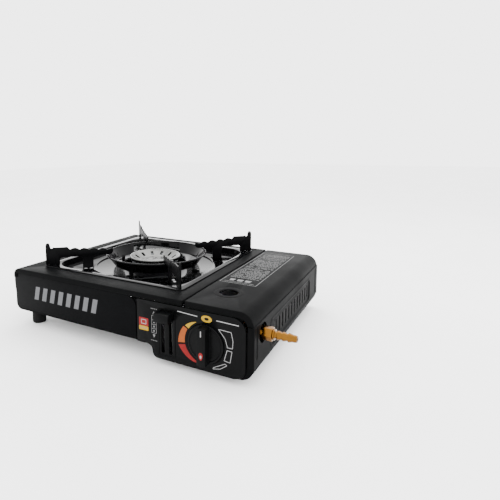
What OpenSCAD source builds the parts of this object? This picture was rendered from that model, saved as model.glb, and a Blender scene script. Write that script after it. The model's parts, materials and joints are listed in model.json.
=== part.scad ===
// Portable single-burner camping stove with a lift-off drip pan, a hinged
// cartridge lid, a rotary gas knob, a cartridge lock lever and a hose inlet.
// Millimetres, +Z up, front towards -Y, resting on its feet at z = 0.

/* [Body] */
// Width of the sheet-metal body
body_w = 343; // [342:0.5:344]
// Depth of the sheet-metal body
body_d = 261; // [260.5:0.5:262]
// Height of the top deck above the table
top_h = 78; // [77.5:0.5:78.5]
// Thickness of the sheet metal
sheet = 0.8; // [0.7:0.1:0.9]
// Underside of the shallow burner section
shallow_z = 21.5; // [21:0.5:22]
// Underside of the deep cartridge section
deep_z = 7.5; // [7:0.5:8]
// Radius of the right-hand shoulder and lower corner
shoulder_r = 15; // [14.5:0.5:15]

/* [Drip pan] */
// Side of the square opening for the drip pan
pan_open = 219.5; // [219:0.5:220]
// Left edge of the opening
pan_x0 = 28; // [27.5:0.5:28.5]
// Front edge of the opening
pan_y0 = 25.5; // [25:0.5:26]
// Play between the pan and its opening on each side
pan_play = 0.6; // [0.4:0.1:0.8]
// Radius of the round recess in the pan floor
recess_r = 84; // [82:1:86]
// Radius of the well's inner corners
pan_corner_r = 32; // [28:1:34]
// Radius of the burner hole in the pan
pan_hole_r = 45; // [44:1:46]

/* [Pan supports] */
// Distance from the burner axis to the outer edge of a support
arm_outer_r = 151; // [150.5:0.5:151]
// Distance from the burner axis to the inner tip of a support
arm_inner_r = 60.5; // [60:0.5:61]
// Height of the flat pot rest above the deck
rest_h = 24.4; // [24:0.1:24.8]
// Height of the outer horn above the deck
horn_h = 31.2; // [30:0.4:32]
// Thickness of a support
arm_t = 1.6; // [1.4:0.1:2]

/* [Burner] */
// Radius of the slotted burner cap
cap_r = 36.5; // [36:0.5:38]
// Height of the cap rim above the deck
cap_h = 5; // [4:0.5:6]
// Number of flame slots in the cap
flame_slots = 12; // [10:2:14]

/* [Controls] */
// Knob axis, distance from the left edge
knob_x = 290.5; // [290:0.5:291]
// Knob axis height
knob_z = 37.4; // [37:0.2:38]
// Radius of the knob disc
knob_r = 20.5; // [20:0.1:20.6]
// How far the knob grip stands out of the fascia
knob_reach = 11; // [10:0.5:12]
// Travel of the lock lever
lever_travel = 32; // [30:1:33]

/* [Hose inlet] */
// Inlet axis, distance from the front face
inlet_y = 26; // [25.5:0.5:26.5]
// Inlet axis height
inlet_z = 51; // [50.5:0.5:51]
// Across-flats size of the hose adapter nut
hex_af = 13; // [12:0.5:13]
// How far the hose barb stands out of the body side
barb_reach = 35; // [34:0.5:36]
// Crest radius of the hose barb
barb_r = 4.6; // [4.5:0.1:4.7]

/* [Hidden] */
$fn = 48;
eps = 0.01;
origin_x = (body_w + barb_reach) / 2;
lever_reach = 12;
origin_y = (body_d - lever_reach) / 2;
pan_cx = pan_x0 + pan_open / 2;
pan_cy = pan_y0 + pan_open / 2;
// the lid turns about a rolled bead along its left edge
bead_r = 3.6;
deck_right = 262.4;
hinge_x = deck_right + 0.3 + bead_r;
hinge_z = top_h - bead_r;
hinge_pin_r = 1.2;
ear_y = [8, 9.2];
bracket_y = [5, 6.5];
// the tray sits behind the front panels and inside the deck's skirt
tray_front = 2.4;
tray_back = body_d - sheet - 0.3;
tray_left = sheet;
tray_right = body_w - 1;
tray_top = top_h - 5;
tray_left_top = top_h - 9;
deep_x = 224.5;
step_r = 7;
skirt_z = top_h - 6;
shoulder_z = top_h - shoulder_r;
lip_z = shoulder_z + 1.5;
side_z = 22;
flange = 6.5;
strip_x = body_w - sheet - 0.6;
ledge_z = top_h - 4.8;
pan_half = pan_open / 2 - pan_play;
pan_top = top_h + 1;
pan_lip = 6.6;
pan_floor = top_h - 8;
pan_recess = pan_floor - 2;
collar_h = 4;
shield_foot_r = 62;
shield_low_r = 60;
shield_low = pan_floor + 3;
shield_rim_r = 70.5;
shield_rim = top_h + 9.6;
shield_shift = [2, 1];
leg_r = [102.5, 88];
post_in = 132.6;
rest_r = [139.5, 122.5];
wave_step = 12.72;
wave_top = 74.2;
wave_drop = 2.4;
slope = 0.071;
tab_t = 1.2;
rivet_r = 1.2;
rivet_spot = [91.5, 98.5];
rivet_side = 4.9;
window_z = top_h + 10.2;
partition_x = 257.6;
shallow_floor = shallow_z + sheet;
deep_floor = deep_z + sheet;
can_r = 34;
bay_x = 303;
bay_z = deep_floor + 0.4 + can_r;
seal_r = 4.6;
spindle_r = 3;
well_r = knob_r + 0.5;
lever_x = 243.4;
lever_z = 56.6;
grip_z = lever_z - 2.6;
grip_top = lever_z + 7;
slot_a = [236.6, 240.4];
slot_b = [246.4, 250.2];
blade_t = 2.4;
spring_y = 21.5;
lug_top = 43.2;
hook_z = 66;
slot_low = lever_z - 9 - lever_travel;
deck_under = top_h - sheet;
tube_r = 7;
tube_start = [249.5, 36, 44];
tube_end = [pan_cx, pan_cy, 36.5];
tube_run = tube_end - tube_start;
piezo_y = 11;
piezo_z = 28;
cam_y = [8, 11.8];
electrode_a = -20;
electrode_at = [pan_cx + 41 * cos(electrode_a), pan_cy + 41 * sin(electrode_a)];
foot_r = 9;
foot_spots = [[21, 22, shallow_z], [21, 239, shallow_z], [318, 24, deep_z], [318, 237, deep_z]];

// points of an arc from angle a to angle b
function arc(c, r, a, b, n = 8) =
    [for (i = [0:n]) c + r * [cos(a + (b - a) * i / n), sin(a + (b - a) * i / n)]];

// the shared frame: origin under the middle of the whole stove
module place() {
    translate([-origin_x, -origin_y, 0]) children();
}

// an outline drawn in the X-Z plane, extruded from y0 to y1
module along_y(y0, y1) {
    translate([0, y1, 0]) rotate([90, 0, 0]) linear_extrude(y1 - y0) children();
}

// a box between two corners
module box(a, b) {
    translate(a) cube(b - a);
}

// a rounded square plate or prism centred on the pan opening
module pan_prism(half, r, z0, z1) {
    translate([pan_cx, pan_cy, z0]) linear_extrude(z1 - z0) polygon(concat(
        arc([half - r, half - r], r, 0, 90), arc([r - half, half - r], r, 90, 180),
        arc([r - half, r - half], r, 180, 270), arc([half - r, r - half], r, 270, 360)));
}

// a cylinder along X or Y
module rod_x(x0, x1, y, z, r) {
    translate([x0, y, z]) rotate([0, 90, 0]) cylinder(r = r, h = x1 - x0);
}
module rod_y(x, y0, y1, z, r) {
    translate([x, y1, z]) rotate([90, 0, 0]) cylinder(r = r, h = y1 - y0);
}

// section of the tray: shallow under the burner, deep under the cartridge
module tray_outline(t, top) {
    polygon(concat(
        [[tray_left + t, top]],
        arc([10, shallow_z + 10 - tray_left], 10 - tray_left - t, 180, 270),
        arc([deep_x - step_r, shallow_z - step_r], step_r + t, 90, 0),
        arc([deep_x + step_r, deep_z + step_r], step_r - t, 180, 270),
        arc([tray_right - shoulder_r, deep_z + shoulder_r], shoulder_r - t, 270, 360),
        [[tray_right - t, top]]));
}

module base_tray() {
    color("dimgray") place() difference() {
        along_y(tray_front, tray_back) tray_outline(0, tray_top);
        along_y(tray_front + sheet, tray_back - sheet) tray_outline(sheet, tray_top + 1);
        // window behind the fascia
        box([214, 0, deep_z + 5], [331, tray_front + 2, 65]);
        // the deep section is open on the right, behind the side panel
        box([tray_right - 3, tray_front + sheet + 6, 32], [tray_right + 1, tray_back - 7, top_h]);
        // the left part is lower, inside the deck's skirt and under the lid's hinge
        box([-1, tray_front - 1, tray_left_top], [hinge_x + 6, tray_back + 1, top_h]);
        // outer top corner is cut to clear the rounded shoulder
        box([tray_right - 12, tray_front - 1, lip_z - 7], [body_w, tray_back + 1, top_h]);
        // air slots under the burner
        for (i = [-3:3]) box([pan_cx + i * 14 - 2, pan_cy - 30, 0],
                             [pan_cx + i * 14 + 2, pan_cy + 30, shallow_z + 3]);
        for (s = foot_spots) translate([s[0], s[1], 0]) cylinder(r = 2.05, h = 40);
    }
}

module top_deck() {
    deck = concat([[0, 66]], arc([9, top_h - 9], 9, 180, 90), [[deck_right, top_h], [deck_right, 66]]);
    under = concat([[sheet, 60]], arc([9, top_h - 9], 9 - sheet, 180, 90),
        [[deck_right - sheet, deck_under], [deck_right - sheet, 60]]);
    color("dimgray") place() difference() {
        union() {
            difference() {
                along_y(0, body_d) polygon(deck);
                along_y(sheet, body_d - sheet) polygon(under);
                box([sheet, -1, 60], [deck_right + 1, 2 * sheet, skirt_z]);
                box([deck_right - 2 * sheet, sheet, 60], [deck_right + 1, body_d - sheet, skirt_z]);
            }
            // collar and ledge that carry the pan
            pan_prism(pan_open / 2 + sheet, 8 + sheet, ledge_z, top_h - eps);
        }
        pan_prism(pan_open / 2, 8, ledge_z + sheet, top_h + 1);
        pan_prism(pan_open / 2 - 4, 5, ledge_z - 1, top_h + 1);
    }
}

module front_panel() {
    color("black") place() along_y(0.8, tray_front) polygon(concat(
        [[3, 71.6], [3, 33]], arc([13, 34], 10, 190, 262), [[202, 24]], arc([190, 59.6], 12, 0, 90)));
}

module fascia_outline() {
    polygon(concat(
        [[204.2, 71], [204.2, shallow_z]],
        arc([deep_x - step_r, shallow_z - step_r], step_r, 90, 0),
        arc([deep_x + step_r, deep_z + step_r], step_r, 180, 270),
        [[322, deep_z]], arc([322, deep_z + 12.5], 12.5, 300, 360),
        arc([320.5, 57], 14, 0, 90)));
}

module control_fascia() {
    color("#1b1b1d") place() difference() {
        union() {
            along_y(0, tray_front) fascia_outline();
            rod_y(knob_x, 0.5, 6, knob_z, well_r + 1.5);
        }
        rod_y(knob_x, -1, 4.4, knob_z, well_r);
        rod_y(knob_x, -1, 8, knob_z, spindle_r + 0.8);
        box([slot_a[0], -1, slot_low], [slot_a[1], 9, 62.5]);
        box([slot_b[0], -1, slot_low], [slot_b[1], 9, 62.5]);
    }
}

module side_panel() {
    color("dimgray") place() difference() {
        union() {
            box([body_w - sheet, 0, side_z], [body_w, body_d, lip_z - 0.25]);
            // front and back flanges
            box([body_w - flange, 0, side_z + 4], [body_w, sheet, lip_z - 0.25]);
            box([body_w - flange, body_d - sheet, side_z + 4], [body_w, body_d, lip_z - 0.25]);
            // strip behind the lid's lower edge
            box([strip_x - sheet, 40, lip_z - 8], [strip_x, body_d - 10, lip_z + 1.1]);
            box([strip_x - sheet, 40, lip_z - 8], [body_w - sheet + eps, body_d - 10, lip_z - 6]);
        }
        for (i = [0:11]) translate([0, 69 + i * 12.2, 0])
            box([body_w - 4, -1.75, 31], [body_w + 1, 1.75, 49]);
        rod_x(body_w - 5, body_w + 1, inlet_y, inlet_z, 10.5);
    }
}

module heat_shield() {
    color("silver") place() difference() {
        union() {
            box([partition_x, tray_front + sheet, deep_floor], [partition_x + sheet, tray_back - sheet, 70]);
            box([partition_x, 40, deep_floor], [partition_x + 9, tray_back - sheet - 4, deep_floor + sheet]);
        }
        along_tube(-22) cylinder(r = tube_r, h = 20);
        rod_x(partition_x - 3, partition_x + 3, piezo_y, piezo_z, 3);
        box([partition_x - 1, 60, deep_floor - 1], [partition_x + 2, 82, 18]);
    }
}

module burner_body() {
    color("silver") place() translate([pan_cx, pan_cy, 0]) difference() {
        rotate_extrude() polygon([[0, 46], [16, 46], [22, 50], [33.5, 73], [33.5, top_h],
            [31.5, top_h], [31.5, 74], [20, 52], [0, 50]]);
        translate([0, 0, 30]) cylinder(r = 8.5, h = 30);
    }
}

module burner_cap() {
    rim = top_h + cap_h;
    color("gainsboro") place() translate([pan_cx, pan_cy, 0]) difference() {
        rotate_extrude() polygon([[0, rim - 8], [22, rim - 8], [33.5, rim - 1.2], [34.6, rim],
            [cap_r - 0.6, rim], [cap_r, rim - 0.8], [cap_r, rim - 2.4], [35, rim - 5],
            [33.5, rim - 5], [31.4, rim - 4.8], [23, rim - 9.4], [0, rim - 9.4]]);
        for (i = [0:flame_slots - 1]) rotate([0, 0, 14 + i * 360 / flame_slots])
            box([24.5, -2.1, rim - 12], [31.3, 2.1, rim + 1]);
        for (i = [0:2]) rotate([0, 0, i * 120]) translate([12, 0, rim - 12]) cylinder(r = 1.8, h = 8);
    }
}

module burner_bracket() {
    color("gray") place() translate([pan_cx, pan_cy, 0]) difference() {
        union() {
            for (s = [-1, 1]) {
                box([-6, s > 0 ? 19 : -20.2, shallow_floor], [6, s > 0 ? 20.2 : -19, 44.8]);
                box([-6, s > 0 ? 19 : -29, shallow_floor], [6, s > 0 ? 29 : -19, shallow_floor + 1.2]);
            }
            box([-6, -20.2, 44.8], [6, 20.2, 46]);
            translate([0, 0, 44.8]) cylinder(r = 12, h = 1.2);
        }
        translate([0, 0, 30]) cylinder(r = 8.5, h = 30);
    }
}

// along the axis of the mixing tube, counted from its mouth
module along_tube(from) {
    translate(tube_start) rotate([0, 0, atan2(tube_run[1], tube_run[0])])
        rotate([0, atan2(norm([tube_run[0], tube_run[1]]), tube_run[2]), 0])
            translate([0, 0, from]) children();
}

module mixing_tube() {
    color("silver") place() difference() {
        union() {
            along_tube(0) cylinder(r = tube_r + 2, h = 14);
            along_tube(0) cylinder(r = tube_r, h = norm(tube_run));
            translate(tube_end) sphere(r = 8);
            translate(tube_end) cylinder(r = 8, h = 50 - tube_end[2]);
        }
        along_tube(-1) cylinder(r = tube_r - 1, h = norm(tube_run) + 1);
        along_tube(-1) cylinder(r = tube_r + 1, h = 9);
        translate(tube_end) sphere(r = 6.6);
        translate(tube_end) cylinder(r = 6.6, h = 20);
    }
}

module gas_jet() {
    color("goldenrod") place() difference() {
        union() {
            along_tube(-24) cylinder(r = 2.6, h = 6.5);
            along_tube(-18) cylinder(r = 4.6, h = 4, $fn = 6);
            along_tube(-14.1) cylinder(r = 3, h = 7);
            along_tube(-7.2) cylinder(r1 = 3, r2 = 1.6, h = 3);
        }
        along_tube(-25) cylinder(r = 0.6, h = 30);
    }
}

module regulator_body() {
    color("lightgray") place() difference() {
        union() {
            box([276, 15, 28], [314, 40, 58]);
            box([260, 15, 38], [277, 30, 51.5]);
            rod_y(knob_x, 12, 16, knob_z, 8);
            rod_x(313, 318, inlet_y, inlet_z, 6.5);
            rod_y(bay_x, 38, 44, bay_z, 12);
        }
        along_tube(-18) cylinder(r = 20, h = 18);
        along_tube(-25) cylinder(r = 2.65, h = 10);
        rod_y(knob_x, 11, 32, knob_z, spindle_r + 0.05);
        rod_y(bay_x, 34, 46, bay_z, 4.05);
    }
}

module regulator_cover() {
    color("silver") place() difference() {
        union() {
            translate([295, 26, 58]) cylinder(r = 15, h = 2);
            translate([295, 26, 60]) cylinder(r = 11, h = 7);
        }
        for (a = [45:90:315]) translate([295 + 13 * cos(a), 26 + 13 * sin(a), 57]) cylinder(r = 1, h = 5);
    }
}

module cartridge_socket() {
    color("goldenrod") place() difference() {
        union() {
            rod_y(bay_x, 36, 44, bay_z, 4);
            rod_y(bay_x, 44, 47, bay_z, 13);
            rod_y(bay_x, 47, 56, bay_z, 9);
            // tab that lines up the cartridge's notch
            box([bay_x - 1.5, 47, bay_z + 8], [bay_x + 1.5, 55, bay_z + 14.5]);
        }
        rod_y(bay_x, 48.5, 57, bay_z, 5);
        rod_y(bay_x, 46, 49, bay_z, seal_r);
        rod_y(bay_x, 35, 47, bay_z, 1);
    }
}

module socket_seal() {
    color("black") place() difference() {
        rod_y(bay_x, 46, 48.5, bay_z, seal_r - 0.01);
        rod_y(bay_x, 45, 50, bay_z, 2);
    }
}

module inlet_pipe() {
    color("goldenrod") place() difference() {
        rod_x(318, 336, inlet_y, inlet_z, 5);
        rod_x(317, 337, inlet_y, inlet_z, 2.5);
    }
}

module hose_nut() {
    color("goldenrod") place() difference() {
        translate([336, inlet_y, inlet_z]) rotate([0, 90, 0]) rotate([0, 0, 30])
            cylinder(d = hex_af / cos(30), h = 17.5, $fn = 6);
        rod_x(335, 354, inlet_y, inlet_z, 2.5);
    }
}

module hose_barb() {
    tip = body_w + barb_reach;
    root = 353.5;
    crests = [358, 363.5, 369];
    color("goldenrod") place() difference() {
        union() {
            rod_x(root, tip - 2, inlet_y, inlet_z, barb_r - 0.9);
            rod_x(root, root + 2, inlet_y, inlet_z, barb_r + 1);
            for (x = crests) {
                rod_x(x, x + 1.2, inlet_y, inlet_z, barb_r);
                translate([x + 1.2, inlet_y, inlet_z]) rotate([0, 90, 0])
                    cylinder(r1 = barb_r, r2 = barb_r - 0.9, h = 3);
            }
            translate([tip - 2, inlet_y, inlet_z]) rotate([0, 90, 0])
                cylinder(r1 = barb_r - 0.9, r2 = barb_r - 1.5, h = 2);
        }
        rod_x(root - 1, tip + 1, inlet_y, inlet_z, 2);
    }
}

module piezo_igniter() {
    color("ivory") place() difference() {
        union() {
            rod_x(272, 273.2, piezo_y, piezo_z, 4.4);
            rod_x(262, 272.1, piezo_y, piezo_z, 4);
        }
        rod_x(268, 274, piezo_y, piezo_z, 2.4);
    }
}

// the plunger is pressed by the cam on the spindle
module igniter_plunger() {
    color("white") place() union() {
        rod_x(272.4, 282, piezo_y, piezo_z, 2.1);
        rod_x(279, 282, piezo_y, piezo_z, 3.1);
    }
}

// round wire through the points of a path; up is never along the path
wire_sides = 8;
module tube(path, r, up) {
    n = len(path) - 1;
    rings = [for (i = [0:n])
        let (d = path[min(i + 1, n)] - path[max(i - 1, 0)], u = cross(d, up) / norm(cross(d, up)),
             v = cross(d, u) / norm(cross(d, u)))
        for (k = [0:wire_sides - 1]) let (a = 360 * k / wire_sides) path[i] + r * (cos(a) * u + sin(a) * v)];
    sides = [for (i = [0:n - 1]) for (k = [0:wire_sides - 1]) let (m = (k + 1) % wire_sides, j = i * wire_sides)
        [j + k, j + k + wire_sides, j + m + wire_sides, j + m]];
    ends = [[for (k = [0:wire_sides - 1]) k], [for (k = [wire_sides - 1:-1:0]) n * wire_sides + k]];
    polyhedron(rings, concat(sides, ends));
}

// cuts each corner of a path, keeping its two ends
function smooth(p) = concat([p[0]], [for (i = [0:len(p) - 2]) each
    [0.75 * p[i] + 0.25 * p[i + 1], 0.25 * p[i] + 0.75 * p[i + 1]]], [p[len(p) - 1]]);

module ignition_lead() {
    tip = [electrode_at[0], electrode_at[1], 57.4];
    route = [[261.95, piezo_y, piezo_z], [259, piezo_y, piezo_z], [255.2, piezo_y, piezo_z],
        [255.2, 18, 28], [254, 28, 26], [244, 36, 26], [215, 50, 26],
        [200, 80, 28], [192, 100, 36], tip - [-4, 6, 12], tip - [0, 0, 5], tip];
    color("firebrick") place() tube(smooth(smooth(route)), 1.1, [0.3, 1, 0.2]);
}

module electrode_insulator() {
    color("white") place() difference() {
        translate([electrode_at[0], electrode_at[1], 57.5]) cylinder(r = 2.8, h = 16);
        translate([electrode_at[0], electrode_at[1], 56]) cylinder(r = 0.8, h = 20);
    }
}

module electrode_tip() {
    color("silver") place() union() {
        translate([electrode_at[0], electrode_at[1], 58]) cylinder(r = 0.78, h = 24);
        translate([electrode_at[0], electrode_at[1], 81.2]) rotate([0, -90, electrode_a])
            cylinder(r = 0.78, h = 3);
    }
}

module heat_strip() {
    color("peru") place() union() {
        box([190, 63, shallow_floor], [partition_x - 10, 79, shallow_floor + 1]);
        box([partition_x - 10 - eps, 63, 12], [partition_x - 9, 79, shallow_floor + 1]);
        box([partition_x - 10 - eps, 63, 12], [partition_x + 6, 79, 13]);
        box([partition_x + 6 - eps, 63, deep_floor + sheet], [partition_x + 7, 79, 13]);
    }
}

module cartridge_cradle() {
    color("silver") place() for (y = [105, 215]) difference() {
        box([bay_x - 23, y, deep_floor], [bay_x + 23, y + 10, deep_floor + 6]);
        rod_y(bay_x, y - 1, y + 11, bay_z, can_r + 0.2);
    }
}

module lever_guide() {
    color("gray") place() difference() {
        union() {
            box([230, 14, 11], [252.5, 15.2, 68]);
            box([230, tray_front + sheet, 11], [231.2, 15.2, 68]);
            // arm that holds the lever's spring
            box([lever_x - 4, 15, hook_z], [lever_x + 4, spring_y + 3, hook_z + 1.2]);
        }
        box([slot_a[0] - 0.4, 13, slot_low], [slot_a[1] + 0.4, 16, 64]);
        box([slot_b[0] - 0.4, 13, slot_low], [slot_b[1] + 0.4, 16, 64]);
    }
}

module hinge_brackets() {
    color("gray") place() for (end = [0, 1]) {
        y0 = end == 0 ? bracket_y[0] : body_d - bracket_y[1];
        y1 = end == 0 ? bracket_y[1] : body_d - bracket_y[0];
        difference() {
            union() {
                rod_y(hinge_x, y0, y1, hinge_z, 2.4);
                box([hinge_x - 2.4, y0, 60], [hinge_x + 2.4, y1, hinge_z]);
                box([partition_x + sheet, y0, 56], [hinge_x + 2.4, y1, 66]);
            }
            rod_y(hinge_x, y0 - 1, y1 + 1, hinge_z, hinge_pin_r + 0.01);
        }
    }
}

module hinge_pins() {
    color("silver") place() for (end = [0, 1]) {
        y0 = end == 0 ? bracket_y[0] - 0.6 : body_d - ear_y[1] - 1;
        y1 = end == 0 ? ear_y[1] + 1 : body_d - bracket_y[0] + 0.6;
        rod_y(hinge_x, y0, y1, hinge_z, hinge_pin_r);
    }
}

module rubber_feet() {
    color("#202020") place() for (s = foot_spots) translate([s[0], s[1], 0]) difference() {
        union() {
            cylinder(r1 = foot_r - 0.8, r2 = foot_r, h = 1.5);
            translate([0, 0, 1.5]) cylinder(r = foot_r, h = s[2] - 1.5);
        }
        translate([0, 0, -1]) cylinder(r = 4, h = 4);
        cylinder(r = 2.05, h = 40);
    }
}

module foot_screws() {
    color("silver") place() for (s = foot_spots) translate([s[0], s[1], 0]) union() {
        translate([0, 0, 1.2]) cylinder(r = 3.6, h = 1.8);
        translate([0, 0, 3]) cylinder(r = 2, h = s[2] + sheet);
    }
}

// the places where the supports are riveted to the pan, two on each
module at_rivets() {
    for (a = [45:90:315]) for (r = rivet_spot) translate([pan_cx, pan_cy, 0]) rotate([0, 0, a])
        translate([r, rivet_side, 0]) children();
}

module drip_pan() {
    color("#151517") place() difference() {
        union() {
            // rolled lip: outer skirt, flat top and inner wall
            difference() {
                pan_prism(pan_half, 7, ledge_z + sheet, pan_top);
                pan_prism(pan_half - sheet, 7 - sheet, ledge_z, pan_top - sheet);
            }
            pan_prism(pan_half - pan_lip, pan_corner_r, pan_floor - sheet, pan_top - eps);
            translate([pan_cx, pan_cy, pan_recess - sheet]) cylinder(r = recess_r + sheet, h = 2);
        }
        pan_prism(pan_half - pan_lip - sheet, pan_corner_r - sheet, pan_floor, pan_top + 1);
        translate([pan_cx, pan_cy, pan_recess]) cylinder(r = recess_r, h = 20);
        translate([pan_cx, pan_cy, pan_recess - 5]) cylinder(r = pan_hole_r, h = 20);
        at_rivets() translate([0, 0, 50]) cylinder(r = rivet_r + 0.05, h = 30);
    }
    color("#151517") place() translate([pan_cx, pan_cy, pan_recess - eps]) difference() {
        cylinder(r = pan_hole_r + sheet, h = collar_h);
        translate([0, 0, -1]) cylinder(r = pan_hole_r, h = collar_h + 2);
    }
}

// scalloped top edge of a support, which falls towards the burner
function wave(r) = top_h + rest_h - slope * (rest_r[0] - r)
    - wave_drop * (1 - abs(cos(180 * (r - wave_top) / wave_step)));

// flat pot support with an outer post and horn, and a riveted leg
module support_outline() {
    rest = top_h + rest_h;
    horn = top_h + horn_h;
    polygon(concat(
        [[arm_outer_r, pan_top + eps], [arm_outer_r, horn - 4], [arm_outer_r - 0.5, horn - 1.6]],
        arc([arm_outer_r - 2.9, horn - 2.3], 2.3, 20, 160, 6),
        [[144.6, rest + 1.5]],
        arc([143, rest + 0.6], 1.7, 0, -180, 6),
        [[rest_r[0], rest], [rest_r[1], rest]],
        [for (i = [0:54]) let (r = 119.5 - i * (119.5 - arm_inner_r - 0.8) / 54) [r, wave(r)]],
        [[arm_inner_r, rest - 7], [arm_inner_r, window_z + 3.5], [arm_inner_r + 2, window_z + 1],
         [arm_inner_r + 5, window_z]],
        arc([leg_r[1] - 3, window_z - 3], 3, 90, 0, 4),
        [[leg_r[1], pan_floor + eps], [leg_r[0], pan_floor + eps]],
        arc([leg_r[0] + 3, window_z - 3], 3, 180, 90, 4),
        arc([post_in - 3, window_z - 3], 3, 90, 0, 4),
        [[post_in, pan_top + eps]]));
}

module support(angle) {
    color("#101012") place() translate([pan_cx, pan_cy, 0]) rotate([0, 0, angle]) difference() {
        union() {
            translate([0, arm_t / 2, 0]) rotate([90, 0, 0]) linear_extrude(arm_t) support_outline();
            // foot tab, bent to one side and held by a rivet
            box([leg_r[1], arm_t / 2 - eps, pan_floor + eps], [leg_r[0], 8.5, pan_floor + tab_t]);
        }
        for (r = rivet_spot) translate([r, rivet_side, pan_floor - 1]) cylinder(r = rivet_r + 0.05, h = 5);
    }
}
module support_front_left() { support(225); }
module support_front_right() { support(315); }
module support_back_left() { support(135); }
module support_back_right() { support(45); }

// conical wind shield round the burner, on four feet, open at the back
module wind_shield() {
    color("#101012") place() translate([pan_cx + shield_shift[0], pan_cy + shield_shift[1], 0]) difference() {
        union() {
            rotate_extrude() polygon([[shield_low_r, shield_low], [shield_low_r + 1, shield_low],
                [shield_rim_r, shield_rim - 1], [shield_rim_r - 1, shield_rim - 1]]);
            translate([0, 0, shield_rim - 1]) rotate_extrude() translate([shield_rim_r, 0]) circle(r = 1.3);
            for (a = [0:90:270]) rotate([0, 0, a])
                box([shield_foot_r - 1.4, -3.5, pan_recess + 0.01], [shield_foot_r - 0.2, 3.5, shield_low + 2]);
            for (a = [0:90:270]) rotate([0, 0, a])
                box([shield_foot_r - 1.4, -3.5, pan_recess + 0.01], [shield_foot_r + 6, 3.5, pan_recess + 1]);
        }
        // window in the back wall
        rotate([0, 0, 124]) intersection() {
            translate([0, 0, shield_low + 3.5]) cylinder(r = 90, h = 8.5);
            box([30, -36, 0], [100, 36, 200]);
        }
    }
}

module support_rivets() {
    top = pan_floor + tab_t;
    color("gainsboro") place() at_rivets() union() {
        translate([0, 0, top]) cylinder(r = 2.4, h = 0.7);
        translate([0, 0, top + 0.7]) cylinder(r1 = 2.4, r2 = 1.4, h = 0.6);
        translate([0, 0, pan_floor - sheet - 0.6]) cylinder(r = rivet_r, h = sheet + tab_t + 0.7);
        translate([0, 0, pan_floor - sheet - 0.8]) cylinder(r = 2.2, h = 0.8);
    }
}

// ------------------------------------------------------------ cartridge lid
module lid_section(t, low) {
    last = max(0, asin(max(0, low - shoulder_z) / (shoulder_r - t)));
    polygon(concat([[hinge_x, low]], [[hinge_x, top_h - t]],
        arc([body_w - shoulder_r, shoulder_z], shoulder_r - t, 90, last),
        low < shoulder_z ? [[body_w - t, low]] : []));
}

module cartridge_lid() {
    color("dimgray") place() difference() {
        union() {
            // sheet with rounded shoulder and an inner cavity
            difference() {
                along_y(0, body_d) lid_section(0, lip_z);
                along_y(sheet, body_d - sheet) lid_section(sheet, lip_z - 4);
                // end flanges are narrow bands
                along_y(-1, body_d + 1) lid_section(flange, lip_z - 4);
                box([hinge_x - 1, sheet, lip_z - 2], [hinge_x + 1, body_d - sheet, top_h - sheet]);
            }
            // rolled bead along the hinge
            along_y(2.8, body_d - 2) polygon(concat(arc([hinge_x, hinge_z], bead_r, 88, 200),
                arc([hinge_x, hinge_z], bead_r - sheet, 200, 88)));
            for (y0 = [ear_y[0], body_d - ear_y[1]]) {
                rod_y(hinge_x, y0, y0 + ear_y[1] - ear_y[0], hinge_z, 2.3);
                box([hinge_x - 2.3, y0, hinge_z], [hinge_x + 2.3, y0 + ear_y[1] - ear_y[0], hinge_z + 2.4]);
                box([hinge_x, y0, hinge_z + 1], [hinge_x + 8, y0 + ear_y[1] - ear_y[0], top_h - sheet + eps]);
            }
        }
        for (y0 = [bracket_y[0] - 0.8, body_d - bracket_y[1] - 0.6])
            box([hinge_x - 5, y0, 60], [hinge_x + 3.2, y0 + 2.9, top_h - sheet + 0.2]);
        rod_y(hinge_x, 2, 14, hinge_z, hinge_pin_r + 0.05);
        rod_y(hinge_x, body_d - 14, body_d - 2, hinge_z, hinge_pin_r + 0.05);
        translate([295, 47.5, 60]) cylinder(r = 10.4, h = 30);
    }
}

// ---------------------------------------------------------------- controls
module control_knob() {
    color("#1b1b1d") place() difference() {
        union() {
            rod_y(knob_x, -1.2, 3.8, knob_z, knob_r);
            intersection() {
                rod_y(knob_x, -knob_reach, 0, knob_z, knob_r - 0.6);
                box([knob_x - 5, -knob_reach, knob_z - 30], [knob_x + 5, 0, knob_z + 30]);
            }
        }
        rod_y(knob_x, -6, 5, knob_z, spindle_r);
    }
}

module valve_spindle() {
    color("silver") place() union() {
        rod_y(knob_x, -6, 31, knob_z, spindle_r - 0.01);
        // cam that presses the igniter's plunger
        rod_y(knob_x, cam_y[0], cam_y[1], knob_z, 6);
        box([knob_x - 2, cam_y[0], knob_z], [knob_x + 2, cam_y[1], knob_z + 10.5]);
    }
}

module lock_lever() {
    color("#161618") place() union() {
        // hollow grip in front of the fascia
        box([lever_x - 9, -lever_reach, grip_z], [lever_x + 9, 2.6 - lever_reach, grip_top]);
        box([lever_x - 9, -lever_reach, grip_top - 2.4], [lever_x + 9, -0.4, grip_top]);
        for (x = [lever_x - 9, lever_x + 6.6])
            box([x, -lever_reach, grip_z], [x + 2.4, -0.4, grip_top]);
        box([lever_x - 9, -2.4, grip_z], [lever_x + 9, -0.4, grip_top]);
        // blades through the two slots, joined behind the guide
        for (s = [slot_a, slot_b]) {
            mid = (s[0] + s[1]) / 2;
            box([mid - blade_t / 2, -1, lever_z - 2.4], [mid + blade_t / 2, 17, lever_z + 4]);
        }
        box([233, 16.4, lever_z - 6], [252, 17.9, lever_z + 5]);
        box([lever_x - 2.5, 16.4, lug_top - 1.2], [lever_x + 2.5, 17.9, lever_z - 5]);
        box([lever_x - 2.5, 16.4, lug_top - 1.2], [lever_x + 2.5, spring_y + 3, lug_top]);
    }
}

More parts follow.
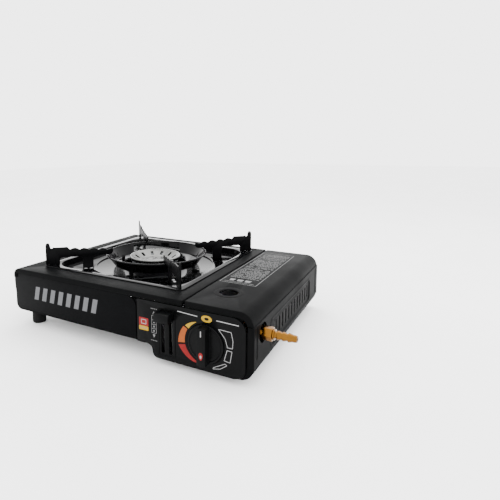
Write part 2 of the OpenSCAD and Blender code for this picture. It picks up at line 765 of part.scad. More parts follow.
// plate that draws the cartridge against the socket
module cartridge_carriage() {
    color("silver") place() difference() {
        union() {
            box([bay_x - 35.5, 66, deep_floor + 8], [bay_x + 35.5, 67.2, bay_z + 22]);
            // side guides outside the cartridge
            box([bay_x - 35.5, 66, bay_z - 13], [bay_x - 34.5, 86, bay_z + 10]);
            box([bay_x + 34.5, 66, bay_z - 13], [bay_x + 35.5, 86, bay_z + 10]);
        }
        rod_y(bay_x, 64, 69, bay_z, 17);
    }
}

// pulls the lever up again; stretched between the guide and the lever's lug
coil_turns = 12;
coil_steps = 12;
module lever_spring() {
    count = coil_turns * coil_steps;
    coil = [for (i = [0:count]) let (a = 360 * i / coil_steps)
        [lever_x + 2.6 * cos(a), spring_y + 2.6 * sin(a), lug_top + 0.5 + (hook_z - lug_top - 1) * i / count]];
    color("silver") place() tube(coil, 0.45, [0, 0, 1]);
}

base_tray();
top_deck();
front_panel();
control_fascia();
side_panel();
heat_shield();
burner_body();
burner_cap();
burner_bracket();
mixing_tube();
gas_jet();
regulator_body();
regulator_cover();
cartridge_socket();
socket_seal();
inlet_pipe();
hose_nut();
hose_barb();
piezo_igniter();
ignition_lead();
electrode_insulator();
electrode_tip();
heat_strip();
cartridge_cradle();
lever_guide();
hinge_brackets();
hinge_pins();
rubber_feet();
foot_screws();
drip_pan();
support_front_left();
support_front_right();
support_back_left();
support_back_right();
wind_shield();
support_rivets();
cartridge_lid();
control_knob();
valve_spindle();
lock_lever();
lever_spring();
cartridge_carriage();
igniter_plunger();
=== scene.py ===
import json
import math

import bmesh
import bpy
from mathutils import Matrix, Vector


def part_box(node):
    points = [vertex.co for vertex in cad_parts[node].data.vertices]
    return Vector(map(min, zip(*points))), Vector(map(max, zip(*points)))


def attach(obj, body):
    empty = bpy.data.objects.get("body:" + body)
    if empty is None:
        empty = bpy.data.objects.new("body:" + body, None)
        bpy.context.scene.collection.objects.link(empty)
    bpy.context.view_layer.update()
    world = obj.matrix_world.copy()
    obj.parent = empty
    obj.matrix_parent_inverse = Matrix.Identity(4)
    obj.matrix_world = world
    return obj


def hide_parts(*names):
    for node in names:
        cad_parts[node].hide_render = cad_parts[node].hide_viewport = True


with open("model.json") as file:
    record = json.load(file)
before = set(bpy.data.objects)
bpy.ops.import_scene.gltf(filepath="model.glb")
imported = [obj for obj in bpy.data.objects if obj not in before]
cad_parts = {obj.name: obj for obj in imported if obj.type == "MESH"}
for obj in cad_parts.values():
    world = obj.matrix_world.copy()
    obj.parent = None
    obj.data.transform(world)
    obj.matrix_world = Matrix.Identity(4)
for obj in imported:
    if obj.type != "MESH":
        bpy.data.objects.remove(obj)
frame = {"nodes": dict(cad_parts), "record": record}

scene = bpy.context.scene
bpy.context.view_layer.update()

# ------------------------------------------------------------------ camera
camera = bpy.data.objects.new("camera", bpy.data.cameras.new("camera"))
scene.collection.objects.link(camera)
scene.camera = camera
camera.location = (0.2933, -0.4945, 0.2358)
camera.rotation_euler = (math.radians(90 - 6.53), math.radians(0.17), math.radians(29.0))
camera.data.sensor_width = 36
camera.data.lens = 30.70
camera.data.shift_x = 0.1128
camera.data.shift_y = -0.1046
camera.data.clip_start = 0.01
camera.data.dof.use_dof = False

# ------------------------------------------------- shared places, in mm
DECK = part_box("top_deck")
X0, Y0 = DECK[0].x, DECK[0].y
TOP = DECK[1].z * 1000
DEPTH = (DECK[1].y - DECK[0].y) * 1000
WIDE = (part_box("side_panel")[1].x - X0) * 1000
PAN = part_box("drip_pan")
PX = ((PAN[0].x + PAN[1].x) / 2 - X0) * 1000
PY = ((PAN[0].y + PAN[1].y) / 2 - Y0) * 1000
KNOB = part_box("control_knob")
KX = ((KNOB[0].x + KNOB[1].x) / 2 - X0) * 1000
KZ = (KNOB[0].z + KNOB[1].z) / 2 * 1000


def at(x, y, z):
    return Vector((X0 + x / 1000, Y0 + y / 1000, z / 1000))


# --------------------------------------------------------------- materials
class Tree:
    def __init__(self, name):
        self.m = bpy.data.materials.new(name)
        self.m.use_nodes = True
        self.n = self.m.node_tree.nodes
        self.l = self.m.node_tree.links
        self.bsdf = next(x for x in self.n if x.type == "BSDF_PRINCIPLED")
        self.coord = self.n.new("ShaderNodeTexCoord").outputs["Object"]

    def noise(self, scale, detail=4.0, rough=0.55, stretch=None):
        t = self.n.new("ShaderNodeTexNoise")
        t.inputs["Scale"].default_value = scale
        t.inputs["Detail"].default_value = detail
        t.inputs["Roughness"].default_value = rough
        source = self.coord
        if stretch:
            m = self.n.new("ShaderNodeMapping")
            m.inputs["Scale"].default_value = stretch
            self.l.new(self.coord, m.inputs["Vector"])
            source = m.outputs["Vector"]
        self.l.new(source, t.inputs["Vector"])
        return t.outputs["Fac"]

    def ramp(self, fac, stops):
        r = self.n.new("ShaderNodeValToRGB")
        r.color_ramp.elements[0].position = stops[0][0]
        r.color_ramp.elements[0].color = (*stops[0][1], 1)
        r.color_ramp.elements[1].position = stops[-1][0]
        r.color_ramp.elements[1].color = (*stops[-1][1], 1)
        for p, c in stops[1:-1]:
            r.color_ramp.elements.new(p).color = (*c, 1)
        self.l.new(fac, r.inputs["Fac"])
        return r.outputs["Color"]

    def spread(self, fac, lo, hi, a=0.3, b=0.7):
        r = self.n.new("ShaderNodeMapRange")
        r.inputs["From Min"].default_value = a
        r.inputs["From Max"].default_value = b
        r.inputs["To Min"].default_value = lo
        r.inputs["To Max"].default_value = hi
        self.l.new(fac, r.inputs["Value"])
        return r.outputs["Result"]

    def bump(self, height, strength, distance, below=None):
        b = self.n.new("ShaderNodeBump")
        b.inputs["Strength"].default_value = strength
        b.inputs["Distance"].default_value = distance
        self.l.new(height, b.inputs["Height"])
        if below is not None:
            self.l.new(below, b.inputs["Normal"])
        return b.outputs["Normal"]

    def set(self, **values):
        for k, v in values.items():
            self.bsdf.inputs[k.replace("_", " ")].default_value = v

    def join(self, **links):
        for k, v in links.items():
            self.l.new(v, self.bsdf.inputs[k.replace("_", " ")])


def finish_of(name, colour, rough, metal=0.0, grain=900.0, depth=0.00003, vary=0.18,
              coat=0.0, wear=None, stretch=None, specular=0.5):
    """Paint, plastic or metal with fine grain, slow unevenness, roughness changes and light wear."""
    t = Tree(name)
    slow = t.noise(14, 3)
    mid = t.noise(120, 5, 0.6)
    fine = t.noise(grain, 3, 0.5, stretch)
    dark = tuple(c * (1 - vary) for c in colour)
    light = tuple(min(1, c * (1 + vary)) for c in colour)
    stops = [(0.3, dark), (0.5, colour), (0.68, light)]
    if wear:
        stops.append((0.86, wear))
    t.join(Base_Color=t.ramp(mid, stops))
    t.join(Roughness=t.spread(slow, rough[0], rough[1]))
    t.join(Normal=t.bump(fine, 0.35, depth, t.bump(mid, 0.12, depth * 3)))
    t.set(Metallic=metal, Specular_IOR_Level=specular)
    if coat:
        t.set(Coat_Weight=coat, Coat_Roughness=0.12)
    return t.m


CHARCOAL = finish_of("charcoal_enamel", (0.0019, 0.002, 0.0021), (0.42, 0.56), grain=1500,
                     depth=0.00004, specular=0.012)
PANEL = finish_of("panel_enamel", (0.0011, 0.0012, 0.0014), (0.4, 0.52), grain=1800, specular=0.02)
GLOSS = finish_of("gloss_enamel", (0.0016, 0.0016, 0.0018), (0.07, 0.14), grain=500,
                  depth=0.00002, specular=0.06)
SUPPORT = finish_of("support_enamel", (0.0016, 0.0016, 0.0018), (0.3, 0.42), grain=700,
                    depth=0.00004, wear=(0.004, 0.004, 0.0044), specular=0.03)
PLASTIC = finish_of("black_plastic", (0.0014, 0.0015, 0.0016), (0.24, 0.36), grain=2500,
                    depth=0.00002, specular=0.04)
SILVER = finish_of("burner_steel", (0.09, 0.09, 0.087), (0.2, 0.34), metal=1, grain=700, vary=0.06,
                   wear=(0.1, 0.098, 0.09))
PLATED = finish_of("plated_steel", (0.16, 0.16, 0.16), (0.28, 0.42), metal=1, vary=0.1)
ALLOY = finish_of("cast_alloy", (0.16, 0.165, 0.17), (0.42, 0.6), metal=1, grain=500,
                  depth=0.0001, vary=0.12)
HEAT = finish_of("heat_aluminium", (0.4, 0.4, 0.41), (0.3, 0.42), metal=1, grain=300, vary=0.08,
                 stretch=(1, 12, 12))
BRASS = finish_of("brass", (0.12, 0.052, 0.008), (0.16, 0.28), metal=1, grain=500, vary=0.1,
                  wear=(0.1, 0.045, 0.01), stretch=(14, 1, 1))
RUBBER = finish_of("rubber", (0.003, 0.003, 0.003), (0.62, 0.8), grain=1200, depth=0.00006,
                   specular=0.08)
CERAMIC = finish_of("insulator", (0.5, 0.49, 0.45), (0.16, 0.28), grain=400, vary=0.05, coat=0.2)
IVORY = finish_of("igniter_plastic", (0.4, 0.38, 0.32), (0.3, 0.42), grain=800, vary=0.06,
                  specular=0.3)
LEAD = finish_of("lead_sleeve", (0.14, 0.012, 0.009), (0.42, 0.56), vary=0.12, specular=0.2)


def ink(name, colour, rough=(0.5, 0.65), vary=0.1):
    """Matt printing ink."""
    return finish_of(name, colour, rough, grain=2500, depth=0.00001, vary=vary, specular=0.1)


WHITE = ink("print_white", (0.2, 0.2, 0.2), vary=0.08)
LINE = ink("print_line", (0.11, 0.11, 0.11))
SILVER_PRINT = ink("print_silver", (0.075, 0.076, 0.08))
RED = ink("print_red", (0.13, 0.006, 0.006), (0.45, 0.6))
ORANGE = ink("print_orange", (0.2, 0.045, 0.008), (0.45, 0.6), 0.08)
YELLOW = ink("print_yellow", (0.25, 0.15, 0.008), (0.45, 0.6), 0.08)

SLOTS = {
    "painted_charcoal": CHARCOAL, "gloss_enamel": GLOSS, "panel_black": PANEL,
    "black_plastic": PLASTIC, "burner_steel": SILVER, "plated_steel": PLATED,
    "cast_alloy": ALLOY, "heat_aluminium": HEAT, "brass": BRASS, "rubber": RUBBER,
    "insulator": CERAMIC, "igniter_plastic": IVORY, "lead_sleeve": LEAD,
}
SLOT_OF = {s["node"]: s["material_slot"] for s in frame["record"]["subparts"]}
BODY_OF = {n: b for b, ns in frame["record"]["behaviour"]["bodies"].items() for n in ns}
for node, o in frame["nodes"].items():
    o.data.materials.clear()
    o.data.materials.append(SUPPORT if node.startswith("support_") and "rivets" not in node
                            else SLOTS[SLOT_OF[node]])


# ------------------------------------------------------------ mesh helpers
def thing(name, points, faces, material, body, nodes=(), sharp=32):
    """A piece from points in body millimetres."""
    mesh = bpy.data.meshes.new(name)
    mesh.from_pydata([at(*p) for p in points], [], faces)
    mesh.validate()
    return settle(name, mesh, material, body, nodes, sharp)


def settle(name, mesh, material, body, nodes=(), sharp=32):
    o = bpy.data.objects.new(name, mesh)
    scene.collection.objects.link(o)
    mesh.materials.clear()
    mesh.materials.append(material)
    shade(mesh, sharp)
    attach(o, body)
    if nodes:
        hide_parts(*nodes)
    return o


def shade(mesh, sharp):
    mesh.shade_smooth()
    mesh.set_sharp_from_angle(angle=math.radians(sharp))


def bake(o, sharp=32):
    """Turns the object's modifiers into its mesh."""
    made = bpy.data.meshes.new_from_object(o.evaluated_get(bpy.context.evaluated_depsgraph_get()))
    o.modifiers.clear()
    o.data = made
    shade(made, sharp)
    return o


def bevel(o, width, segments=2, limit=30):
    b = o.modifiers.new("edge", "BEVEL")
    b.width, b.segments, b.limit_method = width / 1000, segments, "ANGLE"
    b.angle_limit = math.radians(limit)
    b.miter_outer = "MITER_ARC"
    b.use_clamp_overlap = True
    return o


def cut(o, cutters):
    for c in cutters:
        m = o.modifiers.new("cut", "BOOLEAN")
        m.operation, m.solver, m.object = "DIFFERENCE", "EXACT", c
    bake(o)
    for c in cutters:
        bpy.data.objects.remove(c)
    return o


def prism(name, outline, axis, lo, hi):
    """A bare closed prism, used to cut or as a print; outline is in the two other axes."""
    n = len(outline)

    def point(p, t):
        return {"x": (t, p[0], p[1]), "y": (p[0], t, p[1]), "z": (p[0], p[1], t)}[axis]

    pts = [at(*point(p, lo)) for p in outline] + [at(*point(p, hi)) for p in outline]
    faces = [list(range(n)), list(range(2 * n - 1, n - 1, -1))]
    faces += [[i, i + n, (i + 1) % n + n, (i + 1) % n] for i in range(n)]
    mesh = bpy.data.meshes.new(name)
    mesh.from_pydata(pts, [], faces)
    tidy(mesh)
    o = bpy.data.objects.new(name, mesh)
    scene.collection.objects.link(o)
    return o


def tidy(mesh, merge=1e-7):
    b = bmesh.new()
    b.from_mesh(mesh)
    bmesh.ops.remove_doubles(b, verts=b.verts, dist=merge)
    bmesh.ops.recalc_face_normals(b, faces=b.faces)
    b.to_mesh(mesh)
    b.free()


def circle(cx, cy, r, n=48, a0=0.0, a1=360.0):
    full = abs(a1 - a0 - 360) < 1e-6
    return [(cx + r * math.cos(math.radians(a0 + (a1 - a0) * i / (n if full else n - 1))),
             cy + r * math.sin(math.radians(a0 + (a1 - a0) * i / (n if full else n - 1)))) for i in range(n)]


def rounded(x0, y0, x1, y1, r, n=6):
    out = []
    for cx, cy, a in ((x1 - r, y1 - r, 0), (x0 + r, y1 - r, 90), (x0 + r, y0 + r, 180), (x1 - r, y0 + r, 270)):
        out += circle(cx, cy, r, n + 1, a, a + 90)
    return out


def loft(rows, closed_rows=False, closed_ring=False):
    """Faces between rows of equal length."""
    k = len(rows[0])
    pts = [p for r in rows for p in r]
    faces = []
    for i in range(len(rows) if closed_rows else len(rows) - 1):
        a, b = i * k, ((i + 1) % len(rows)) * k
        for j in range(k if closed_ring else k - 1):
            m = (j + 1) % k
            faces.append([a + j, a + m, b + m, b + j])
    return pts, faces


def skin(name, rows, thick, material, body, nodes, inward=True):
    """A pressed sheet: an open surface given its thickness."""
    pts, faces = loft(rows)
    o = thing(name, pts, faces, material, body, nodes)
    s = o.modifiers.new("sheet", "SOLIDIFY")
    s.thickness, s.offset = thick / 1000, -1 if inward else 1
    s.use_quality_normals = True
    bake(o)
    return o


def lathe(name, profile, centre, material, body, steps=96, axis="z", sharp=32):
    """A closed profile (radius, height) turned about z or y."""
    rows = []
    for i in range(steps):
        a = 2 * math.pi * i / steps
        c, s = math.cos(a), math.sin(a)
        row = []
        for r, h in profile:
            if axis == "z":
                row.append((centre[0] + r * c, centre[1] + r * s, centre[2] + h))
            else:
                row.append((centre[0] + r * c, centre[1] + h, centre[2] + r * s))
        rows.append(row)
    pts, faces = loft(rows, closed_rows=True, closed_ring=True)
    o = thing(name, pts, faces, material, body, (), sharp)
    tidy(o.data, 1e-6)
    shade(o.data, sharp)
    return o


def refine(node, width, segments=2, sharp=32, limit=28):
    """The CAD shape with softened edges, standing for its node."""
    source = frame["nodes"][node]
    mesh = source.data.copy()
    if mesh.has_custom_normals:
        mesh.attributes.remove(mesh.attributes["custom_normal"])
    b = bmesh.new()
    b.from_mesh(mesh)
    bmesh.ops.remove_doubles(b, verts=b.verts, dist=2e-6)
    bmesh.ops.dissolve_limit(b, angle_limit=math.radians(0.4), verts=b.verts, edges=b.edges)
    b.to_mesh(mesh)
    b.free()
    o = settle(node + ".soft", mesh, source.data.materials[0], BODY_OF[node],
               (node,), sharp)
    bevel(o, width, segments, limit)
    bake(o, sharp)
    return o


def prints(name, shapes, axis, face, material, body, lift=0.05):
    """Printed marks: flat shapes lying on a face."""
    lo, hi = sorted((face, face + lift))
    parts = [prism(name + str(i), s, axis, lo, hi) for i, s in enumerate(shapes)]
    b = bmesh.new()
    for p in parts:
        b.from_mesh(p.data)
        bpy.data.objects.remove(p)
    mesh = bpy.data.meshes.new(name)
    b.to_mesh(mesh)
    b.free()
    return settle(name, mesh, material, body)


def line(p, q, w):
    dx, dy = q[0] - p[0], q[1] - p[1]
    d = math.hypot(dx, dy)
    nx, ny = -dy / d * w / 2, dx / d * w / 2
    return [(p[0] + nx, p[1] + ny), (q[0] + nx, q[1] + ny), (q[0] - nx, q[1] - ny), (p[0] - nx, p[1] - ny)]


BEND = 1.6  # radius at which a sheet's ends turn in
TURN = [(BEND - BEND * math.cos(math.radians(90 - a)), BEND - BEND * math.sin(math.radians(90 - a)))
        for a in range(0, 91, 15)]


def end_rows(profile, band, y0, y1):
    """Rows for a sheet folded along Y whose two ends are turned in by a band's width.
    profile(d) is the section inset by d."""
    start = [(band, 0.0)] + TURN
    rows = [[(x, y0 + s, z) for x, z in profile(d)] for d, s in start]
    rows += [[(x, y1 - s, z) for x, z in profile(d)] for d, s in reversed(start)]
    return rows


# ---------------------------------------------------------------- the body
SHEET = 0.8
RIGHT = (DECK[1].x - X0) * 1000
DECK_ROUND = 9
DECK_SKIRT = 66.0


def deck_section(d):
    arc = circle(DECK_ROUND, TOP - DECK_ROUND, DECK_ROUND - d, 13, 180, 90)
    fold = [(RIGHT - 1.5, TOP - d), (RIGHT - 0.4, TOP - 0.4 - d), (RIGHT, TOP - 1.5 - d * 0.2)]
    return [(d, DECK_SKIRT)] + arc + fold + [(RIGHT, TOP - 4.5)]


deck = skin("deck_skin", end_rows(deck_section, 6.0, 0, DEPTH), SHEET, CHARCOAL, "base",
            ("top_deck",))
half = (PAN[1].x - PAN[0].x) * 500 + 0.6


def square(off, r, n=6):
    """The square opening's outline, larger by off all round."""
    return rounded(PX - half - off, PY - half - off, PX + half + off, PY + half + off, r, n)


cut(deck, [prism("opening", square(0.6, 8.6), "z", 60, 90)])
bevel(deck, 0.3, 2, 40)
bake(deck)

# collar and ledge round the opening: (offset, depth below the deck's top)
rings = [(0.8, 0.02), (0.3, 0.12), (0.08, 0.4), (0, 1), (0, 3.4), (-0.3, 4), (-4, 4), (-4, 4.8),
         (0.5, 4.8), (0.8, 4.3)]
rows = [[(x, y, TOP - down) for x, y in square(off, max(3, 8 + off), 8)] for off, down in rings]
pts, faces = loft(rows, closed_rows=True, closed_ring=True)
collar = thing("deck_collar", pts, faces, CHARCOAL, "base")
tidy(collar.data)

# ------------------------------------------------------------------ the lid
HINGE_X = RIGHT + 3.9
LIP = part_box("cartridge_lid")[0].z * 1000
BEAD = 3.6
SHOULDER = 15
HOLE = (295.0, 47.5)
HOLE_R = 10.6


def lid_section_at(d):
    """Drawn one sheet inside the CAD lid, which keeps the corners of the thickened sheet in its box."""
    arc = circle(WIDE - SHEET - SHOULDER, TOP - SHOULDER, SHOULDER - d, 13, 90, 5)
    return [(HINGE_X - 0.6, TOP - d)] + arc + [(WIDE - SHEET - d, LIP)]


lid = skin("lid_skin", end_rows(lid_section_at, 6.5, SHEET, DEPTH - SHEET), SHEET, CHARCOAL, "lid",
           ("cartridge_lid",))
cut(lid, [prism("hole", circle(*HOLE, HOLE_R, 64), "z", 60, 90)])
bevel(lid, 0.25, 2, 40)
bake(lid)

# rolled bead along the hinge, drawn in a little at its two ends
sweep = [88 + 112 * i / 14 for i in range(15)]
bead = [(BEAD, a) for a in sweep] + [(BEAD - SHEET, a) for a in reversed(sweep)]
rows = []
for y, k in ((2.8, 0.93), (3.4, 1.0), (DEPTH - 2.6, 1.0), (DEPTH - 2.0, 0.93)):
    row = []
    for r, a in bead:
        reach = r * k if r == BEAD else r
        row.append((HINGE_X + reach * math.cos(math.radians(a)), y,
                    TOP - BEAD + reach * math.sin(math.radians(a))))
    rows.append(row)
pts, faces = loft(rows, closed_ring=True)
faces += [list(range(len(bead) - 1, -1, -1)), [3 * len(bead) + i for i in range(len(bead))]]
bead_piece = thing("lid_bead", pts, faces, CHARCOAL, "lid")
tidy(bead_piece.data)

# notches in the bead at the hinge brackets
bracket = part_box("hinge_brackets")
first = (bracket[0].y - Y0) * 1000
last = (bracket[1].y - Y0) * 1000 - 1.3
notches = []
for i, y in enumerate((first, last)):
    notch = [(HINGE_X - 5, y - 0.8), (HINGE_X + 3.2, y - 0.8), (HINGE_X + 3.2, y + 2.1),
             (HINGE_X - 5, y + 2.1)]
    notches.append(prism("notch" + str(i), notch, "z", 60, TOP - 0.6))
cut(bead_piece, notches)

# pressed ring round the hole: (radius, height above the top)
ring = [(10.5, -1.6), (10.5, -0.3), (10.8, 0.15), (11.6, 0.35), (14.4, 0.35), (15.6, 0.2), (16.8, 0.02),
        (16.8, -0.1), (11.4, -0.1), (11.2, -1.6)]
lathe("lid_hole_ring", [(r, TOP + h) for r, h in ring], (*HOLE, 0), CHARCOAL, "lid",
      steps=72)

# ------------------------------------------------------- refined CAD shapes
for node, w in (("base_tray", 0.3), ("control_fascia", 0.6),
                ("drip_pan", 0.4), ("lock_lever", 0.5), ("burner_body", 0.3), ("rubber_feet", 0.8),
                ("hose_nut", 0.5), ("hose_barb", 0.15), ("support_front_left", 0.35),
                ("support_front_right", 0.35), ("support_back_left", 0.35), ("support_back_right", 0.35),
                ("support_rivets", 0.4), ("burner_cap", 0.2), ("wind_shield", 0.3),
                ("control_knob", 0.9), ("regulator_body", 0.6), ("cartridge_carriage", 0.3)):
    refine(node, w)

# front plate: its left edge leans in and curls under
plate = [(1.2, 71.6), (0.9, 60.0), (2.2, 48.0)] + circle(18, 39.8, 15.0, 14, 184, 262)
plate += [(202.0, 24.0)] + circle(190, 59.6, 12, 10, 0, 90)
front = prints("front_skin", [plate], "y", 1.6, PANEL, "base", lift=-0.8)
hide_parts("front_panel")
bevel(front, 0.35, 3, 40)
bake(front)

# ------------------------------------------------- side panel with pressings
def box_distance(y, z, y0, z0, y1, z1, r):
    """Signed distance to a rounded box."""
    qy = abs(y - (y0 + y1) / 2) - (y1 - y0) / 2 + r
    qz = abs(z - (z0 + z1) / 2) - (z1 - z0) / 2 + r
    return math.hypot(max(qy, 0), max(qz, 0)) + min(max(qy, qz), 0) - r


def ease(t):
    t = max(0.0, min(1.0, t))
    return t * t * (3 - 2 * t)


def pressed(y, z):
    """How far the side stands in (-) or out (+) at a place."""
    d = box_distance(y, z, 50, 26.5, 214, 54.5, 7)
    depth = -0.8 * ease((1.5 - d) / 3)
    depth += 0.5 * ease(1 - abs(d - 1.2) / 1.6)
    for y0, z0, z1 in ((8.5, 29, 62), (246, 26, 62)):
        g = box_distance(y, z, y0 - 1.4, z0, y0 + 1.4, z1, 1.4)
        depth -= 0.7 * ease((0.8 - g) / 1.6)
    return depth


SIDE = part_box("side_panel")
LOW, HIGH = SIDE[0].z * 1000, min(SIDE[1].z * 1000, LIP - 0.2)
z_lines = sorted({LOW, HIGH, *[LOW + 1 + i * 1.05 for i in range(int((HIGH - LOW - 1) / 1.05))]})


def fine(y0, y1, step):
    n = max(1, round((y1 - y0) / step))
    return [y0 + (y1 - y0) * i / n for i in range(n)]


y_lines = fine(BEND, 5.5, 1.3) + fine(5.5, 12, 0.65) + fine(12, 46, 8.5) + fine(46, 60, 0.8)
y_lines += fine(60, 204, 12) + fine(204, 218, 0.8) + fine(218, 242, 8) + fine(242, 250, 0.65)
y_lines += fine(250, DEPTH - BEND, 3) + [DEPTH - BEND]
start = [(6.5, 0.0)] + TURN[:-1]
rows = [[(WIDE - d, s, z) for z in z_lines] for d, s in start]
rows += [[(WIDE + pressed(y, z), y, z) for z in z_lines] for y in y_lines]
rows += [[(WIDE - d, DEPTH - s, z) for z in z_lines] for d, s in reversed(start)]
side = skin("side_skin", rows, SHEET, CHARCOAL, "base", ("side_panel",),
            inward=False)

SLOT_COUNT = 12
SLOT_PITCH = 12.2
SLOT_START = 69
slot = rounded(-1.75, 31, 1.75, 49, 1.7, 5)
cutters = []
for i in range(SLOT_COUNT):
    shape = [(y + SLOT_START + SLOT_PITCH * i, z) for y, z in slot]
    cutters.append(prism("slot" + str(i), shape, "x", WIDE - 6, WIDE + 4))
cutters.append(prism("hose_hole", circle(26, 51, 10.5, 64), "x", WIDE - 5.5, WIDE + 4))
cut(side, cutters)
bevel(side, 0.2, 2, 45)
bake(side)

# ------------------------------------------------------------------- prints
FACE = 0.0


def ring_part(a0, a1, r0, r1, r2, r3, n=10):
    """A band round the knob from a0 to a1, its inner and outer radii changing along it."""
    out = []
    for i in range(n + 1):
        a = math.radians(a0 + (a1 - a0) * i / n)
        r = r0 + (r1 - r0) * i / n
        out.append((KX + r * math.cos(a), KZ + r * math.sin(a)))
    for i in range(n, -1, -1):
        a = math.radians(a0 + (a1 - a0) * i / n)
        r = r2 + (r3 - r2) * i / n
        out.append((KX + r * math.cos(a), KZ + r * math.sin(a)))
    return out


def on_fascia(name, shapes, material, lift=-0.05, face=FACE):
    return prints(name, shapes, "y", face, material, "base", lift)


def strokes(points, w):
    """Straight strokes of width w from each point to the next and back to the first."""
    return [line(p, points[(i + 1) % len(points)], w) for i, p in enumerate(points)]


# coloured band round the knob
on_fascia("mark_yellow", [ring_part(118, 148, 23.4, 23.4, 24.0, 28.5)], YELLOW)
on_fascia("mark_orange", [ring_part(152, 189, 24.2, 24.8, 29.5, 33.0)], ORANGE)
on_fascia("mark_red", [ring_part(193, 258, 24.8, 23.0, 33.2, 23.6)], RED)

# oval above the knob, between two bars
OVAL = (291.6, 64)
oval = [(OVAL[0] + 6.2 * math.cos(math.radians(a)), OVAL[1] + 3.6 * math.sin(math.radians(a)))
        for a in range(0, 360, 10)]
on_fascia("mark_oval", [oval], YELLOW)
dot = [(OVAL[0] + 0.42 * (x - OVAL[0]), OVAL[1] + 0.42 * (z - OVAL[1])) for x, z in oval[::3]]
on_fascia("mark_oval_dot", [dot], PLASTIC, -0.03, FACE - 0.05)
on_fascia("mark_bars", [line((257, 66), (281, 64.8), 0.9), line((302.7, 64.5), (327, 63.9), 0.9)],
          WHITE)

# three outlined shapes that narrow downwards, right of the knob
wide = [(305, 56), (319, 55.5), (321, 47), (320.6, 39), (315, 39), (312.5, 47.5)]
middle = [(314.7, 36), (320, 35.6), (318, 23.6), (311.5, 24.5)]
narrow = [(312.5, 21.2), (314.5, 19.8), (307, 14.4), (299, 12.6), (299.5, 14.2)]
on_fascia("mark_segments", strokes(wide, 0.55) + strokes(middle, 0.55) + strokes(narrow, 0.55), WHITE)

# lever scale: a ladder with arrow tips and rungs
LADDER = (224, 230)
middle_x = sum(LADDER) / 2
ladder = [line((x, 35.5), (x, 55), 0.45) for x in LADDER]
ladder += [line((LADDER[0], z), (LADDER[1], z), 0.45) for z in (35.5, 40.4, 45.2, 50.1, 55)]
ladder += [line((middle_x, 41.8 + 4.9 * i), (middle_x, 43.9 + 4.9 * i), 1.6) for i in range(-1, 3)]
for tip, base in ((60.5, 56.5), (30, 34)):
    ladder.append([(middle_x, tip), (middle_x - 1.8, base), (middle_x + 1.8, base)])
on_fascia("mark_ladder", ladder, LINE)
dashes = [line((223 + 2.2 * i, z), (224.5 + 2.2 * i, z), 0.7) for i in range(4) for z in (63, 27)]
on_fascia("mark_dashes", dashes, LINE)

# small two-coloured tag
on_fascia("tag_red", [rounded(207, 41.2, 219.5, 50.5, 0.8, 3)], RED, -0.06)
on_fascia("tag_yellow", [rounded(207, 36.2, 219.5, 41.0, 0.8, 3)], YELLOW, -0.06)
tag_box = [line((210.2, z), (216.4, z), 0.7) for z in (43.6, 48.2)]
tag_box += [line((x, 43.3), (x, 48.5), 0.7) for x in (210.2, 216.4)]
on_fascia("tag_box", tag_box, WHITE, -0.03, FACE - 0.06)
tag_dashes = [line((208.6 + 2.4 * i, 38.6), (210.2 + 2.4 * i, 38.6), 1.1) for i in range(4)]
on_fascia("tag_dashes", tag_dashes, LINE, -0.03, FACE - 0.06)

# plain slanted bars on the front panel
bars = []
for i in range(8):
    x = 38 + 13.9 * i
    bars.append([(x, 41), (x + 7.4, 41), (x + 11.2, 58.5), (x + 3.8, 58.5)])
prints("panel_bars", bars, "y", 0.8, SILVER_PRINT, "base", lift=-0.05)

# label on the lid: a frame, rows of dashes of seeded lengths, and plain shapes
label = strokes([(267.5, 81.5), (313.2, 81.5), (313.2, 239), (267.5, 239)], 0.7)
seed = 7
row_y = 104.0
while row_y < 234:
    x = 271.0 + (seed % 3)
    while x < 309:
        seed = (seed * 1103515245 + 12345) % 2147483648
        w = 1.6 + (seed >> 8) % 5 * 0.8
        if (seed >> 16) % 9 > 0:
            label.append(line((x, row_y), (min(x + w, 310), row_y), 0.95))
        x += w + 1.0
    row_y += 2.9 if (seed >> 12) % 5 else 5.2
for cx, w in ((279, 5), (289, 6), (299, 6)):
    label.append([(cx - w / 2, 90), (cx + w / 2, 90), (cx + w / 2 + 1, 97), (cx - w / 2 - 1, 97)])
label.append(line((272, 86), (309, 86), 0.8))
prints("lid_label", label, "z", TOP, LINE, "lid")

# knob: drop, pointer and a raised rim round the disc
GRIP = (KNOB[0].y - Y0) * 1000
drop = []
for a in range(0, 360, 20):
    side_way, up_way = math.sin(math.radians(a)), math.cos(math.radians(a))
    drop.append((KX + 2.3 * side_way * (1 - 0.35 * up_way),
                 KZ - 9.4 - 3.6 * up_way * (1 + 0.25 * (up_way < 0))))
heart = [(KX + (x - KX) * 0.42, KZ - 9.9 + (z - KZ + 9.9) * 0.42) for x, z in drop]


def on_grip(name, shapes, material, lift=-0.05, face=GRIP):
    return prints(name, shapes, "y", face, material, "knob", lift)


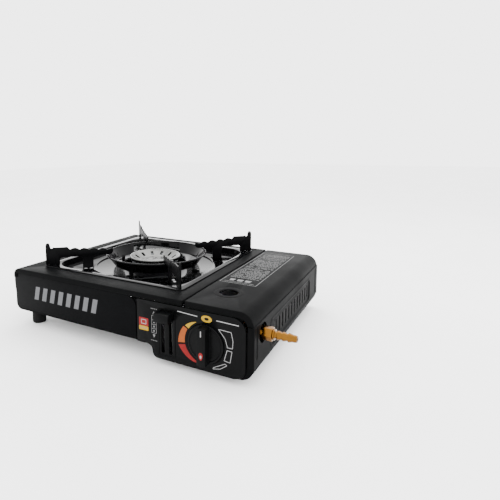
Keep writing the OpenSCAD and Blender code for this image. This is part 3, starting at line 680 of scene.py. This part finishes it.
on_grip("knob_drop", [drop], RED)
on_grip("knob_drop_heart", [heart], WHITE, -0.03, GRIP - 0.05)
on_grip("knob_pointer", [line((KX, KZ + 11.5), (KX, KZ + 17.5), 1.1)], WHITE)
rim = [(17.6, -1.15), (18.0, -1.55), (18.8, -1.75), (19.6, -1.55), (20.1, -1.1), (20.1, -0.6),
       (17.6, -0.6)]
lathe("knob_rim", rim, (KX, 0, KZ), PLASTIC, "knob", axis="y")

# frame round the lever's slots
lever_frame = strokes([(233.4, 13.2), (253.6, 13.2), (253.6, 64.6), (233.4, 64.6)], 1.0)
on_fascia("lever_bezel", lever_frame, PLASTIC, -0.5)

# ------------------------------------------------------------------- stage
floor_mesh = bpy.data.meshes.new("floor")
floor_mesh.from_pydata([(-4, -3, 0), (4, -3, 0), (4, 6, 0), (-4, 6, 0)], [], [[0, 1, 2, 3]])
floor = bpy.data.objects.new("floor", floor_mesh)
scene.collection.objects.link(floor)
floor_look = Tree("floor_paper")
paper = [(0.35, (0.9, 0.9, 0.9)), (0.65, (0.93, 0.93, 0.93))]
floor_look.join(Base_Color=floor_look.ramp(floor_look.noise(6, 4), paper))
floor_look.join(Roughness=floor_look.spread(floor_look.noise(30, 3), 0.7, 0.85))
floor_mesh.materials.append(floor_look.m)

world = bpy.data.worlds.new("studio")
scene.world = world
world.use_nodes = True
sky = world.node_tree.nodes["Background"]
sky.inputs["Color"].default_value = (1, 1, 1, 1)
sky.inputs["Strength"].default_value = 4.2


def lamp(name, size, power, place, aim):
    data = bpy.data.lights.new(name, "AREA")
    data.shape, data.size, data.size_y, data.energy = "RECTANGLE", size[0], size[1], power
    o = bpy.data.objects.new(name, data)
    scene.collection.objects.link(o)
    o.location = place
    o.rotation_euler = (Vector(aim) - Vector(place)).to_track_quat("-Z", "Y").to_euler()


lamp("over", (1.2, 0.9), 12, (-0.1, 0.5, 1.1), (0, 0, 0.05))
lamp("right", (0.5, 1.0), 5, (1.1, 0.2, 0.5), (0, 0, 0.05))
